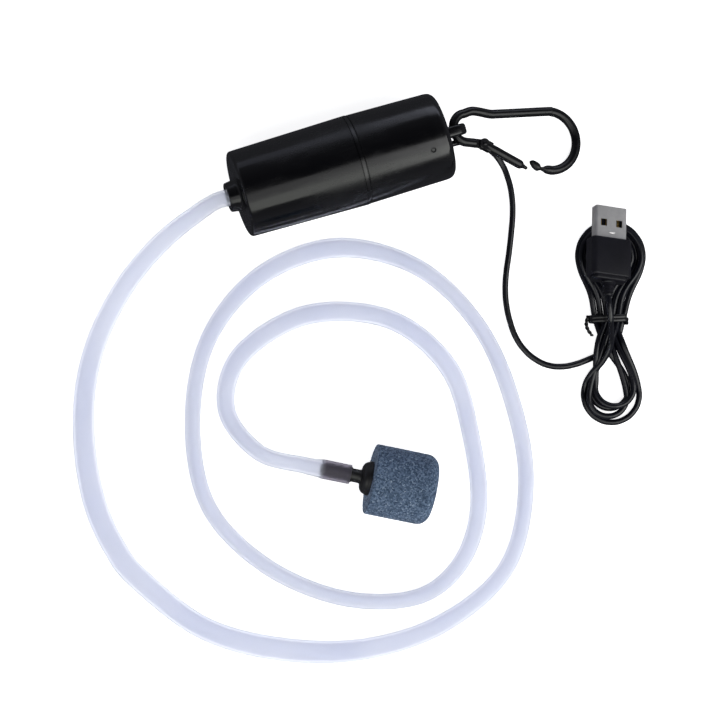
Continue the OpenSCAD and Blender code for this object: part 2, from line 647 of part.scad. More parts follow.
front_shell();
rear_shell();
foam_sleeve();
outlet_cap();
outlet_valve();
valve_plate();
intake_valves();
diaphragm();
cup_plate();
head_base();
head_screws();
wobble_plate();
crank_pin();
eccentric();
motor_can();
front_bush();
rear_bush();
motor_end_cap();
magnets();
motor_shaft();
armature_core();
windings();
commutator();
brushes();
terminals();
lead_wires();
cable_knot();
carabiner_frame();
carabiner_gate();
gate_rivet();
air_tube();
stone_nozzle();
air_stone();
usb_cable();
cable_hank();
cable_tie();
plug_lead();
plug_relief();
plug_grip();
plug_shell();
plug_tongue();
plug_contacts();
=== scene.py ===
from math import asin, atan2, cos, degrees, hypot, pi, radians, sin, tan

import bmesh
import bpy
from mathutils import Matrix, Vector, noise


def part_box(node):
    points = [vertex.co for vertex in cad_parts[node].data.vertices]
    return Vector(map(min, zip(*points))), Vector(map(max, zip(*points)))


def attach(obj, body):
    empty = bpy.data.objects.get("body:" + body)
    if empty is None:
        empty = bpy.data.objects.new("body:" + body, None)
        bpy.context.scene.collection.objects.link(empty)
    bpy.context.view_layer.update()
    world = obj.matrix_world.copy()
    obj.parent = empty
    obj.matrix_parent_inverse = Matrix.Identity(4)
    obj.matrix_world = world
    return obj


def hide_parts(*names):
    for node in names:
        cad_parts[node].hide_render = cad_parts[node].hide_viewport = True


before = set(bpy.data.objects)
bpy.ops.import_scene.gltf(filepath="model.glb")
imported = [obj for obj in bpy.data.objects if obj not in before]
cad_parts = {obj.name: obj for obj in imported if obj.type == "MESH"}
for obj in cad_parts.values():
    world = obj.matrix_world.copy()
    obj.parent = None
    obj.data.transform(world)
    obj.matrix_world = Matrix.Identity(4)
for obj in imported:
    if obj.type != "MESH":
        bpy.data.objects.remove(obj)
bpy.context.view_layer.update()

# Lengths are in millimetres until a piece's own matrix turns them into metres
TO_METRES = Matrix.Scale(0.001, 4)
UP = Vector((0, 0, 1))


def spot(x, y, z, *turns):
    """The matrix of a place in millimetres, turned by (degrees, axis) pairs."""
    place = Matrix.Translation((x, y, z))
    for angle, axis in turns:
        place = place @ Matrix.Rotation(radians(angle), 4, axis)
    return place


# ---- Sizes and places ----
CASE_LENGTH, FRONT_LENGTH, JOINT_D, FRONT_D, REAR_D = 77.0, 44.4, 33.0, 31.4, 31.6
WALL, END_WALL, BOSS = 1.8, 2.2, 4.3
CASE_LOW, CASE_HIGH = (1000 * corner for corner in map(Vector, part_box("front_shell")))
OUTLET = Vector((CASE_LOW.x + BOSS, (CASE_LOW.y + CASE_HIGH.y) / 2, (CASE_LOW.z + CASE_HIGH.z) / 2))
ON_AXIS = spot(*OUTLET, (90, "Y"))

EYE_REACH, EYE_D, EYE_RIM, LUG_W = 3.9, 4.8, 1.9, 4.0
WIRE_D, SMALL_BEND, LARGE_BEND, BEND_SPACING, LIE_TURN = 3.3, 5.2, 10.7, 33.4, -22.3
SMALL_C = Vector((SMALL_BEND - 0.15, 0))
LARGE_C = SMALL_C + BEND_SPACING * Vector((cos(radians(LIE_TURN)), sin(radians(LIE_TURN))))
DROOP = degrees(asin((JOINT_D / 2 - WIRE_D / 2) / (LARGE_C.x + LARGE_BEND)))
ON_CARABINER = spot(OUTLET.x + CASE_LENGTH + EYE_REACH, OUTLET.y, OUTLET.z, (DROOP, "Y"))

CABLE_D = 2.2
CABLE_EXIT = Vector((OUTLET.x + CASE_LENGTH, OUTLET.y - 4, OUTLET.z - 3.5))
STONE_D, STONE_LENGTH, STEM, GRIP = 25.4, 23.2, 7.3, 11.0
STONE_FACE, STONE_TURN = Vector((-44.6, -106, STONE_D / 2)), -28
ON_STONE = spot(*STONE_FACE, (STONE_TURN, "Z"), (90, "Y"))
STONE_WAY = Vector((cos(radians(STONE_TURN)), sin(radians(STONE_TURN)), 0))
ON_HANK = spot(56, -76, 0, (73.4, "Z"))
ON_PLUG = spot(63.2, -48.7, 10.3, (70, "Z"), (14, "Y"), (14, "X"))
GRIP_W, GRIP_T, GRIP_L, RELIEF = 15.5, 7.6, 15.5, 5.5
USB_W, USB_T, USB_L, USB_WALL = 12.0, 4.5, 12.0, 0.3


# ---- Finishes ----
class Value:
    """A node's output that can stand in a sum."""

    def __init__(self, finish, socket):
        self.finish, self.socket = finish, socket

    def _math(self, operation, *values):
        return self.finish.add("ShaderNodeMath", {"operation": operation}, dict(enumerate(values)))

    def __add__(self, other):
        return self._math("ADD", self, other)

    def __sub__(self, other):
        return self._math("SUBTRACT", self, other)

    def __rsub__(self, other):
        return self._math("SUBTRACT", other, self)

    def __mul__(self, other):
        return self._math("MULTIPLY", self, other)

    def __pow__(self, other):
        return self._math("POWER", self, other)

    __radd__, __rmul__ = __add__, __mul__

    def above(self, low, high):
        """0 below low, 1 above high and a ramp between."""
        return self.finish.add("ShaderNodeMapRange", {"clamp": True}, {"Value": self, "From Min": low, "From Max": high})


class Finish:
    """A material on the Principled shader, with its constants on the shader's own sockets."""

    def __init__(self, name, **constants):
        self.material = bpy.data.materials.new(name)
        self.material.use_nodes = True
        self.tree = self.material.node_tree
        self.tree.nodes.clear()
        self.shader = self.tree.nodes.new("ShaderNodeBsdfPrincipled")
        output = self.tree.nodes.new("ShaderNodeOutputMaterial")
        self.tree.links.new(self.shader.outputs[0], output.inputs["Surface"])
        self.set(**constants)
        self.place = self.add("ShaderNodeTexCoord", {}, {}, "Object")

    def set(self, **sockets):
        for name, value in sockets.items():
            self._put(self.shader.inputs[name.replace("_", " ")], value)

    def _put(self, socket, value):
        if isinstance(value, Value):
            self.tree.links.new(value.socket, socket)
        else:
            socket.default_value = (*value, 1) if socket.type == "RGBA" else value

    def add(self, kind, settings, values, out=0):
        node = self.tree.nodes.new(kind)
        for name, value in settings.items():
            setattr(node, name, value)
        for key, value in values.items():
            named = [s for s in node.inputs if s.identifier == key]
            self._put(named[0] if named else node.inputs[key], value)
        return Value(self, node.outputs[out])

    def stretched(self, *scale):
        return self.add("ShaderNodeMapping", {}, {"Vector": self.place, "Scale": scale})

    def noise(self, scale, detail=3.0, rough=0.5, place=None):
        return self.add("ShaderNodeTexNoise", {}, {
            "Vector": place or self.place, "Scale": scale, "Detail": detail, "Roughness": rough})

    def grains(self, scale, out="Distance", **settings):
        return self.add("ShaderNodeTexVoronoi", settings, {"Vector": self.place, "Scale": scale}, out)

    def mix(self, factor, a, b):
        return self.add("ShaderNodeMix", {"data_type": "RGBA"},
                        {"Factor_Float": factor, "A_Color": a, "B_Color": b}, 2)

    def bump(self, height, distance, strength=1.0):
        self.set(Normal=self.add("ShaderNodeBump", {}, {
            "Height": height, "Distance": distance, "Strength": strength}))


def moulded(name, dark, light, rough, spread=0.08, depth=0.00002, grain=2500, blotch=90, **constants):
    """Plain moulded or cast stuff: blotchy colour, uneven gloss and a fine grain."""
    finish = Finish(name, **constants)
    patches = finish.noise(blotch, 4, 0.6)
    finish.set(Base_Color=finish.mix(patches.above(0.3, 0.7), dark, light),
               Roughness=rough + spread * (finish.noise(blotch * 6, 4, 0.6) - 0.5))
    finish.bump(finish.noise(grain, 2), depth)
    return finish


def case_gloss():
    finish = Finish("case_gloss", Specular_IOR_Level=0.5)
    smears = finish.noise(70, 5, 0.65, finish.stretched(0.35, 1, 1))
    hairs = finish.noise(900, 3, 0.7, finish.stretched(0.04, 1, 1))
    waves = finish.noise(30, 2, 0.5, finish.stretched(0.5, 1, 1))
    dust = finish.noise(2600, 2).above(0.66, 0.78)
    finish.set(Base_Color=finish.mix(dust * smears.above(0.45, 0.75), (0.0016, 0.0016, 0.0022), (0.012, 0.012, 0.013)),
               Roughness=0.13 + 0.26 * smears.above(0.42, 0.7) + 0.06 * hairs.above(0.5, 0.75))
    finish.bump(waves * 5 + smears * 0.8 + hairs * 0.2, 0.00006, 0.8)
    return finish


def painted_wire():
    finish = Finish("wire_paint", Specular_IOR_Level=0.36)
    peel = finish.noise(900, 3)
    finish.set(Base_Color=finish.mix(finish.noise(120, 4).above(0.4, 0.7), (0.0022, 0.0022, 0.003), (0.006, 0.006, 0.0075)),
               Roughness=0.2 + 0.14 * finish.noise(260, 4).above(0.45, 0.7))
    finish.bump(peel, 0.00003)
    return finish


def lead_skin():
    finish = Finish("lead_skin", Specular_IOR_Level=0.5)
    rub = finish.noise(160, 4, 0.6)
    finish.set(Base_Color=finish.mix(rub.above(0.35, 0.7), (0.0012, 0.0014, 0.0036), (0.0035, 0.004, 0.0085)),
               Roughness=0.16 + 0.14 * rub)
    finish.bump(finish.noise(1400, 3), 0.00003)
    return finish


def milky_tube():
    finish = Finish("milky_tube", IOR=1.16, Transmission_Weight=0.78, Specular_IOR_Level=0.4)
    haze = finish.noise(40, 4, 0.6)
    colour = finish.mix(haze.above(0.3, 0.7), (0.83, 0.85, 0.935), (0.88, 0.895, 0.96))
    # Painted shade: the colour darkens towards the tube's rims as they turn away from view
    edge = finish.add("ShaderNodeLayerWeight", {}, {"Blend": 0.5}, "Facing")
    colour = finish.mix(edge ** 2, colour, (0.50, 0.52, 0.62))
    # Painted shade: the tube is darkened where it is stretched thin over the stone's dark barb, standing in for the
    # barb seen through its wall
    to_stone = finish.add("ShaderNodeVectorMath", {"operation": "DISTANCE"},
                          {0: finish.place, 1: tuple(0.001 * STONE_FACE)}, "Value")
    reach = 0.001 * (STEM + GRIP)
    colour = finish.mix(to_stone.above(reach - 0.0012, reach + 0.0004), (0.30, 0.28, 0.34), colour)
    finish.set(Base_Color=colour, Roughness=0.34 + 0.08 * finish.noise(90, 3).above(0.35, 0.7))
    return finish


def sintered_stone():
    finish = Finish("sintered_stone", Specular_IOR_Level=0.3)
    tone = finish.grains(1900, "Color")
    shade = finish.add("ShaderNodeSeparateColor", {}, {"Color": tone}, "Red")
    fine = finish.noise(2600, 3, 0.7)
    colour = finish.mix(shade.above(0.1, 0.9), (0.034, 0.060, 0.108), (0.138, 0.20, 0.31))
    colour = finish.mix((shade * fine).above(0.48, 0.62), colour, (0.42, 0.50, 0.62))
    # Painted shade: the pits that the bump sinks are also darkened in colour
    pits = finish.grains(1700).above(0.0, 0.35)
    colour = finish.mix(pits * 0.55 + 0.45, (0.018, 0.026, 0.042), colour)
    finish.set(Base_Color=colour, Roughness=0.72 + 0.2 * fine)
    finish.bump(fine * 0.5 + pits, 0.00018)
    return finish


def brushed_steel():
    finish = Finish("plug_steel", Metallic=0.75)
    lines = finish.noise(2200, 4, 0.6, finish.add("ShaderNodeMapping", {}, {
        "Vector": finish.place, "Rotation": (0, 0, radians(-70)), "Scale": (0.05, 1, 1)}))
    wear = finish.noise(220, 4, 0.6)
    finish.set(Base_Color=finish.mix(wear.above(0.3, 0.75), (0.60, 0.59, 0.585), (0.74, 0.73, 0.725)),
               Roughness=0.3 + 0.18 * lines)
    finish.bump(lines, 0.00002)
    return finish


GLOSS, PAINT, SKIN = case_gloss(), painted_wire(), lead_skin()
TUBE, STONE, PLUG_STEEL = milky_tube(), sintered_stone(), brushed_steel()
GRIP_RUBBER = moulded("grip_rubber", (0.0028, 0.0027, 0.0055), (0.0065, 0.0062, 0.0105), 0.40, 0.15, 0.00003, 1800,
                       Specular_IOR_Level=0.35)
NOZZLE_RUBBER = moulded("nozzle_rubber", (0.004, 0.004, 0.0045), (0.011, 0.011, 0.012), 0.38, 0.2)
TIE_SKIN = moulded("tie_skin", (0.002, 0.002, 0.003), (0.009, 0.009, 0.010), 0.24, 0.15)
INNER = {
    "rubber": moulded("head_rubber", (0.012, 0.012, 0.013), (0.03, 0.03, 0.032), 0.6, 0.2),
    "nylon": moulded("white_nylon", (0.66, 0.66, 0.62), (0.80, 0.80, 0.77), 0.42, 0.12),
    "silicone": moulded("pale_silicone", (0.55, 0.52, 0.44), (0.68, 0.65, 0.56), 0.5, 0.1, Subsurface_Weight=0.15,
                        Subsurface_Scale=0.001),
    "foam": moulded("foam", (0.025, 0.026, 0.028), (0.075, 0.078, 0.083), 0.92, 0.1, 0.0003, 1100, 700),
    "zinc": moulded("motor_zinc", (0.40, 0.41, 0.43), (0.60, 0.61, 0.63), 0.34, 0.2, 0.00002, 900, 140, Metallic=1.0),
    "bronze": moulded("sintered_bronze", (0.35, 0.20, 0.07), (0.55, 0.36, 0.15), 0.45, 0.2, 0.00004, 1800, Metallic=1.0),
    "ferrite": moulded("ferrite", (0.018, 0.018, 0.019), (0.045, 0.045, 0.047), 0.62, 0.15, 0.00005, 1500),
    "laminate": moulded("core_steel", (0.14, 0.145, 0.15), (0.30, 0.30, 0.31), 0.42, 0.2, 0.00002, 1500, Metallic=1.0),
    "copper": moulded("enamelled_copper", (0.34, 0.10, 0.03), (0.60, 0.22, 0.07), 0.32, 0.2, 0.00006, 1600,
                      Metallic=1.0),
    "brass": moulded("contact_brass", (0.50, 0.33, 0.10), (0.72, 0.52, 0.20), 0.3, 0.15, 0.00001, 1200, Metallic=1.0),
    "wire": moulded("red_wire", (0.22, 0.012, 0.010), (0.36, 0.03, 0.02), 0.4, 0.15),
    "black": moulded("black_plastic", (0.010, 0.010, 0.012), (0.024, 0.024, 0.027), 0.4, 0.2),
}
INNER_NODES = {
    "foam": ["foam_sleeve"],
    "rubber": ["outlet_cap", "head_base"],
    "nylon": ["valve_plate", "cup_plate", "eccentric", "motor_end_cap", "wobble_plate"],
    "silicone": ["outlet_valve", "intake_valves", "diaphragm"],
    "zinc": ["motor_can", "terminals", "head_screws", "crank_pin", "motor_shaft"],
    "bronze": ["front_bush", "rear_bush"],
    "ferrite": ["magnets"],
    "laminate": ["armature_core"],
    "copper": ["windings", "commutator"],
    "brass": ["brushes", "plug_contacts"],
    "wire": ["lead_wires"],
    "black": ["cable_knot", "plug_tongue"],
}
for stuff, nodes in INNER_NODES.items():
    for node in nodes:
        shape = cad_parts[node].data
        shape.materials.clear()
        shape.materials.append(INNER[stuff].material)


# ---- Camera ----
def look_at(target, tilt, roll, distance, across):
    """A camera over the target, leaning tilt degrees towards -x and rolled by roll degrees."""
    tilt, roll = radians(tilt), radians(roll)
    along, back = Vector((cos(tilt), 0, sin(tilt))), Vector((-sin(tilt), 0, cos(tilt)))
    side = Vector((0, 1, 0))
    right, top = cos(roll) * along - sin(roll) * side, sin(roll) * along + cos(roll) * side
    lens = bpy.data.cameras.new("camera")
    lens.sensor_width = 36
    lens.lens = 36 * distance / across
    lens.dof.use_dof = False
    camera = bpy.data.objects.new("camera", lens)
    camera.matrix_world = Matrix((right, top, back)).transposed().to_4x4()
    camera.location = target + back * distance
    bpy.context.scene.collection.objects.link(camera)
    bpy.context.scene.camera = camera


look_at(Vector((-0.0342, -0.0644, 0)), 8, 16.6, 2.5, 0.25806)


# ---- Shaping ----
def arc(centre, r, start, stop, steps=8):
    """Points on part of a circle, from start to stop in degrees."""
    turns = (radians(start + (stop - start) * i / steps) for i in range(steps + 1))
    return [(centre[0] + r * cos(a), centre[1] + r * sin(a)) for a in turns]


def smooth(points, steps):
    """A curve through all the points, each of any number of dimensions."""
    rows = [Vector(p) for p in points]
    rows = [2 * rows[0] - rows[1], *rows, 2 * rows[-1] - rows[-2]]
    curve = []
    for a, b, c, d in zip(rows, rows[1:], rows[2:], rows[3:]):
        for k in range(steps):
            t = k / steps
            curve.append(0.5 * (2 * b + (c - a) * t + (2 * a - 5 * b + 4 * c - d) * t ** 2
                                + (3 * b - a - 3 * c + d) * t ** 3))
    return curve + [rows[-2]]


def turned(profile, steps=192, closed=False):
    """A turned shape about z from (radius, height) points."""
    shape = bmesh.new()
    verts = [shape.verts.new((r, 0, h)) for r, h in profile]
    edges = [shape.edges.new(pair) for pair in zip(verts, verts[1:] + verts[:1] if closed else verts[1:])]
    bmesh.ops.spin(shape, geom=verts + edges, cent=(0, 0, 0), axis=(0, 0, 1), angle=2 * pi,
                   steps=steps, use_merge=True)
    return tidy(shape)


def tidy(shape):
    bmesh.ops.remove_doubles(shape, verts=shape.verts, dist=1e-4)
    bmesh.ops.recalc_face_normals(shape, faces=shape.faces)
    return shape


def swept(path, sizes, sides=24, lead=None, bore=None):
    """A ring pulled along path with its (width, height) at each point, filled, or open through where bore gives a wall."""
    shape = bmesh.new()
    last = len(path) - 1

    def stand(i, wall):
        ahead = (path[min(i + 1, last)] - path[max(i - 1, 0)]).normalized()
        side = (lead - ahead * lead.dot(ahead) if lead else ahead.cross(UP)).normalized()
        w, h = (size / 2 - wall for size in sizes[i])
        place = Matrix((side * w, side.cross(ahead) * h, ahead)).transposed().to_4x4()
        place.translation = path[i]
        return place

    ends = []
    for wall in (0, bore) if bore else (0,):
        before = stand(0, wall)
        start = bmesh.ops.create_circle(shape, cap_ends=False, radius=1, segments=sides, matrix=before)
        edges = list({e for v in start["verts"] for e in v.link_edges})
        ends += [edges]
        for i in range(1, last + 1):
            grown = bmesh.ops.extrude_edge_only(shape, edges=edges)["geom"]
            verts = {v for v in grown if isinstance(v, bmesh.types.BMVert)}
            edges = [e for e in grown if isinstance(e, bmesh.types.BMEdge) and set(e.verts) <= verts]
            after = stand(i, wall)
            bmesh.ops.transform(shape, matrix=after @ before.inverted(), verts=list(verts))
            before = after
        ends += [edges]
    if bore:
        bmesh.ops.bridge_loops(shape, edges=ends[0] + ends[2])
        bmesh.ops.bridge_loops(shape, edges=ends[1] + ends[3])
    else:
        for edges in ends:
            bmesh.ops.edgeloop_fill(shape, edges=edges)
    bmesh.ops.recalc_face_normals(shape, faces=shape.faces)
    return shape


def block(length, width, height, long_round, end_round=0.0, at=(0, 0, 0)):
    """A bar along x with its long edges rounded, then the edges of its ends."""
    shape = bmesh.new()
    bmesh.ops.create_cube(shape, size=1, matrix=Matrix.Translation(at) @ Matrix.Diagonal((length, width, height, 1)))
    along = [e for e in shape.edges if abs(e.verts[0].co.x - e.verts[1].co.x) > 0.5 * length]
    if long_round:
        bmesh.ops.bevel(shape, geom=along, offset=long_round, affect="EDGES", segments=6, profile=0.5, material=-1)
    if end_round:
        rim = [e for e in shape.edges if abs(e.verts[0].co.x - e.verts[1].co.x) < 1e-4]
        bmesh.ops.bevel(shape, geom=rim, offset=end_round, affect="EDGES", segments=4, profile=0.5, material=-1)
    return tidy(shape)


def plate(outline, thickness, edge):
    """A flat plate in the x-z plane, centred on y, with rounded edges."""
    shape = bmesh.new()
    face = shape.faces.new([shape.verts.new((x, -thickness / 2, z)) for x, z in outline])
    grown = bmesh.ops.extrude_face_region(shape, geom=[face])["geom"]
    far = [v for v in grown if isinstance(v, bmesh.types.BMVert)]
    bmesh.ops.translate(shape, vec=(0, thickness, 0), verts=far)
    flat = [e for e in shape.edges if abs(e.verts[0].co.y - e.verts[1].co.y) < 1e-4]
    bmesh.ops.bevel(shape, geom=flat, offset=edge, affect="EDGES", segments=4, profile=0.5, material=-1)
    return tidy(shape)


def rod(r, start, stop, *turns, steps=48, top=None):
    """A cylinder, or a cone where top is another radius, along z from start to stop."""
    shape = turned([(0, start), (r, start), (r if top is None else top, stop), (0, stop)], steps)
    for angle, axis in turns:
        bmesh.ops.rotate(shape, verts=shape.verts, matrix=Matrix.Rotation(radians(angle), 3, axis))
    return shape


def moved(shape, place):
    bmesh.ops.transform(shape, matrix=place, verts=shape.verts)
    return shape


def joined(*shapes):
    """One mesh of several closed shapes."""
    whole = shapes[0]
    for shape in shapes[1:]:
        loose = bpy.data.meshes.new("loose")
        shape.to_mesh(loose)
        shape.free()
        whole.from_mesh(loose)
        bpy.data.meshes.remove(loose)
    return whole


def to_object(name, shape, place):
    bmesh.ops.transform(shape, matrix=TO_METRES @ place, verts=shape.verts)
    mesh = bpy.data.meshes.new(name)
    shape.to_mesh(mesh)
    shape.free()
    thing = bpy.data.objects.new(name, mesh)
    bpy.context.scene.collection.objects.link(thing)
    return thing


def piece(name, shape, place, finish, stands_for=(), body="root", fuse=(), cut=(), crease=32):
    """Places a shape, fuses and cuts it with others in its own directions, and gives it its finish and its body."""
    thing = to_object(name, shape, place)
    tools = [(to_object("tool", tool, place), kind)
             for kind, group in (("UNION", fuse), ("DIFFERENCE", cut)) for tool in group]
    for tool, kind in tools:
        step = thing.modifiers.new(kind, "BOOLEAN")
        step.operation, step.object, step.solver = kind, tool, "EXACT"
    if tools:
        plain = thing.data
        thing.data = bpy.data.meshes.new_from_object(thing.evaluated_get(bpy.context.evaluated_depsgraph_get()))
        thing.modifiers.clear()
        bpy.data.meshes.remove(plain)
        for tool, _ in tools:
            bpy.data.meshes.remove(tool.data)
    thing.data.name = name
    thing.data.materials.clear()
    thing.data.materials.append(finish.material)
    thing.data.shade_smooth()
    thing.data.set_sharp_from_angle(angle=radians(crease))
    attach(thing, body)
    if stands_for:
        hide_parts(*stands_for)
    return thing


# ---- Air tube ----
TUBE_D, TUBE_WALL = 6.0, 1.0
NOZZLE_TIP = OUTLET + Vector((-2.6, 0, 0))
TUBE_END = STONE_FACE - (STEM + GRIP) * STONE_WAY
# Place, height of the middle where it is off the table, and how wide the soft tube lies
LYING = [
    (-77, 2.2, 15.2, 6.4), (-90, -3, 12.2, 6.9), (-103.2, -11, 8.4, 7.2), (-114.2, -20.6, 5, 7.3),
    (-123.8, -31.8, 2.8, 7.4), (-131.2, -44.4, 0, 7.6), (-136.4, -58.5, 0, 7.8), (-139.5, -73, 0, 8.1),
    (-140.5, -88, 0, 8.3), (-138.5, -102.5, 0, 8.3), (-133.5, -116, 0, 8.2), (-116, -140, 0, 8.1), (-91, -155.5, 0, 8.4),
    (-62, -164, 0, 7.6), (-32, -163, 0, 6.8), (-5, -150.5, 0, 6.0), (10, -124.5, 0, 5.7),
    (14, -94.5, 0, 6.0), (10, -64.5, 0, 5.7), (-5, -38.5, 0, 6.1), (-31, -23.5, 0, 7.2),
    (-60.5, -25.5, 0, 6.8), (-85, -42, 0, 6.0), (-99, -69, 0, 5.7), (-102, -99, 0, 5.7),
    (-88.5, -125, 0, 5.8), (-65.5, -144, 0, 5.7), (-40, -151.5, 0, 5.8), (-21.5, -145, 0, 6.1),
    (-9, -128, 0, 6.3), (-4, -103, 0, 6.4), (-4.5, -76, 0, 7.0), (-20, -53.5, 0, 6.9),
    (-48, -43.5, 0, 7.2), (-75, -50.5, 0, 7.0), (-86, -67.5, 4.2, 6.4), (-80, -85.5, 9.5, 6.0),
]


def squeezed(width):
    """The height of the soft tube where it lies that wide."""
    return max(3.4, (pi * TUBE_D - 2 * width) / (pi - 2))


def round_at(place, width):
    return (*place, width, width)


rows = [round_at(NOZZLE_TIP, TUBE_D + 0.1), round_at(NOZZLE_TIP - Vector((1, 0, 0)), TUBE_D + 0.1),
        round_at(NOZZLE_TIP - Vector((6, 0, 0)), TUBE_D)]
rows += [(x, y, z or squeezed(width) / 2, width, squeezed(width)) for x, y, z, width in LYING]
rows += [round_at(TUBE_END - 6 * STONE_WAY, TUBE_D), round_at(TUBE_END, TUBE_D + 0.6),
         round_at(TUBE_END + 1.2 * STONE_WAY, TUBE_D + 1), round_at(TUBE_END + (GRIP - 0.1) * STONE_WAY, TUBE_D + 0.9)]
rows = smooth(rows, 12)
tube_path = [Vector(row[:3]) for row in rows]
tube_sizes = [row[3:] for row in rows]
tube = piece("air_line", swept(tube_path, tube_sizes, 28, bore=TUBE_WALL), Matrix(), TUBE, ["air_tube"], crease=60)


# ---- USB lead ----
# Turns of the hank: half width, sideways shift, far end, and the heights of its right, far and left side
UPPER = [(11.85, -1.2, 34.8, 1.1, 1.1, 1.1), (10.9, -1.2, 33.6, 3.3, 3.3, 3.3),
         (9.6, -1.0, 32.2, 1.1, 1.1, 1.1), (7.6, -1.0, 30.4, 3.3, 3.3, 3.3)]
LOWER = [(7.0, -0.7, -31.8, 1.1, 1.1, 1.1), (6.9, 0.3, -34.8, 3.3, 3.3, 3.3),
         (7.0, -2.0, -31.2, 4.2, 5.3, 3.6), (10.1, -1.4, -36.9, 1.1, 1.1, 1.1)]
LANE_BELOW, LANE_ABOVE = [4.4, 2.2, 0.0, -2.2], [-3.3, -1.1, 1.1]


def turn_round(r, shift, far, right, end, left, up):
    """One end of a turn, from the hank's right side to its left."""
    for i in range(9):
        angle = radians(-104 + 26 * i)
        height = end + (right - end) * max(0, -sin(angle)) + (left - end) * max(0, sin(angle))
        yield far - up * r * (1 - cos(angle)), shift + r * sin(angle), height


in_hank = [(-11.5, 1.6, 1.1), (-7, -3.2, 1.1), (0, -5.5, 1.75), (8.5, -7.8, 1.5)]
for k in range(4):
    in_hank += turn_round(*UPPER[k], 1)
    in_hank += [(9, LANE_BELOW[k] + 1.8, 2), (0, LANE_BELOW[k], 1.75), (-9, LANE_BELOW[k] - 3.2, 3.2)]
    in_hank += turn_round(*LOWER[k], -1)
    if k < 3:
        in_hank += [(-9, LANE_ABOVE[k] + 3.2, 5.5), (0, LANE_ABOVE[k], 3.95), (9, LANE_ABOVE[k] - 2, 3.6)]
in_hank += [(-19.5, 6.4, 4.0), (-15, 2.6, 6.0)]
PLUG_WAY = (ON_PLUG.to_3x3() @ Vector((1, 0, 0))).normalized()
LEAD_START = ON_PLUG.translation - (GRIP_L + RELIEF) * PLUG_WAY
lead_points = [
    CABLE_EXIT + Vector((-4, 0, 0)), CABLE_EXIT + Vector((1.5, 0, 0)),
    (22, 0, 11.2), (27, -1.7, 7.6), (32, -5.2, 3.6), (35.2, -11, 1.4), (36, -17.5, 1.1),
    (35.5, -23.5, 1.1), (34, -29.5, 1.1), (31.5, -36, 1.1), (28.5, -43, 1.1), (25.5, -49.5, 1.1),
    (23.5, -55, 1.1), (22.2, -61, 1.1), (21.8, -67, 1.1), (22.2, -72.5, 1.1), (24, -78, 1.1),
    (27, -82.5, 1.1), (31, -85.8, 1.1), (35.5, -87.5, 1.1), (40, -88, 1.1), (44.1, -87.8, 1.1),
    *(ON_HANK @ Vector(p) for p in in_hank),
    (53.3, -84.6, 9.2), (54.2, -80, 12.2), (54.9, -75.6, 15), (55.5, -71.2, 15.9), LEAD_START,
    LEAD_START + 3 * PLUG_WAY,
]
line = bpy.data.curves.new("usb_lead", "CURVE")
line.dimensions, line.bevel_depth, line.bevel_resolution, line.resolution_u = "3D", CABLE_D / 2000, 4, 8
line.use_fill_caps = True
run = line.splines.new("BEZIER")
run.bezier_points.add(len(lead_points) - 1)
for knot, point in zip(run.bezier_points, lead_points):
    knot.co = 0.001 * Vector(point)
    knot.handle_left_type = knot.handle_right_type = "AUTO"
line.materials.append(SKIN.material)
lead = bpy.data.objects.new("usb_lead", line)
bpy.context.scene.collection.objects.link(lead)
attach(lead, "root")
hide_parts("usb_cable", "cable_hank", "plug_lead")


# ---- Twist tie ----
def tie_path():
    """Two turns round the hank's waist."""
    for i in range(73):
        angle = radians(150 + 10 * i)
        flat = [abs(v) ** 0.75 * (1 if v > 0 else -1) for v in (cos(angle), sin(angle))]
        yield ON_HANK @ Vector((-1.2 + 2.4 * i / 72, 7.05 * flat[0], 3.3 + 2.9 * flat[1]))


def tail_path(start):
    """One of the two twisted ends, bent down along the hank."""
    for i in range(25):
        t, angle = i / 24, radians(start + 36 * i)
        yield ON_HANK @ Vector((1.2 - 7 * t, 7.4 + 1.3 * sin(pi * t) - 1.4 * t + 0.35 * cos(angle), 3.4 + 0.35 * sin(angle)))


HANK_WAY = ON_HANK.to_3x3() @ Vector((1, 0, 0))
wrap = list(tie_path())
tie = [swept(wrap, [(1.5, 0.55)] * len(wrap), 12, HANK_WAY)]
for start in (0, 180):
    tail = list(tail_path(start))
    tie.append(swept(tail, [(1.1, 0.8)] * len(tail), 10, UP))
tie = piece("twist_tie", joined(*tie), Matrix(), TIE_SKIN, ["cable_tie"], crease=50)


# ---- USB plug ----
grip = piece("plug_body", block(GRIP_L - 1.4, GRIP_W, GRIP_T, 1.9, 0.5, (-(GRIP_L - 1.4) / 2, 0, 0)), ON_PLUG,
             GRIP_RUBBER, ["plug_grip"],
             fuse=[block(3, GRIP_W - 2.4, GRIP_T - 1.6, 1.5, 0.5, (-GRIP_L + 1.5, 0, 0))])
relief_profile = [(0, -1), (2.7, -1), (2.7, 0.6)]
for i in range(3):
    r = 2.45 - 0.28 * i
    relief_profile += [(r, 0.9 + 1.3 * i), (r, 1.7 + 1.3 * i), (r - 0.45, 1.8 + 1.3 * i), (r - 0.45, 2.1 + 1.3 * i)]
relief_profile += [(1.7, 5.0), (1.5, RELIEF), (0, RELIEF)]
relief = piece("plug_sleeve", turned(relief_profile, 64), ON_PLUG @ spot(-GRIP_L, 0, 0, (-90, "Y")),
               GRIP_RUBBER, ["plug_relief"])
windows = [block(2.6, 2.4, 1.5, 0, 0, (5.8, 3 * side, face * USB_T / 2)) for side in (-1, 1) for face in (-1, 1)]
detent = bmesh.new()
bmesh.ops.create_uvsphere(detent, u_segments=32, v_segments=16, radius=1,
                          matrix=Matrix.Translation((2.5, -0.2, USB_T / 2 - 0.03)) @ Matrix.Diagonal((0.75, 1.5, 0.3, 1)))
shell = piece("plug_shell_steel", block(USB_L, USB_W, USB_T, 0.7, 0, (USB_L / 2, 0, 0)), ON_PLUG, PLUG_STEEL,
              ["plug_shell"], fuse=[detent], cut=[block(USB_L + 2, USB_W - 2 * USB_WALL, USB_T - 2 * USB_WALL, 0.4, 0,
                                                  (USB_L / 2, 0, 0)), *windows])


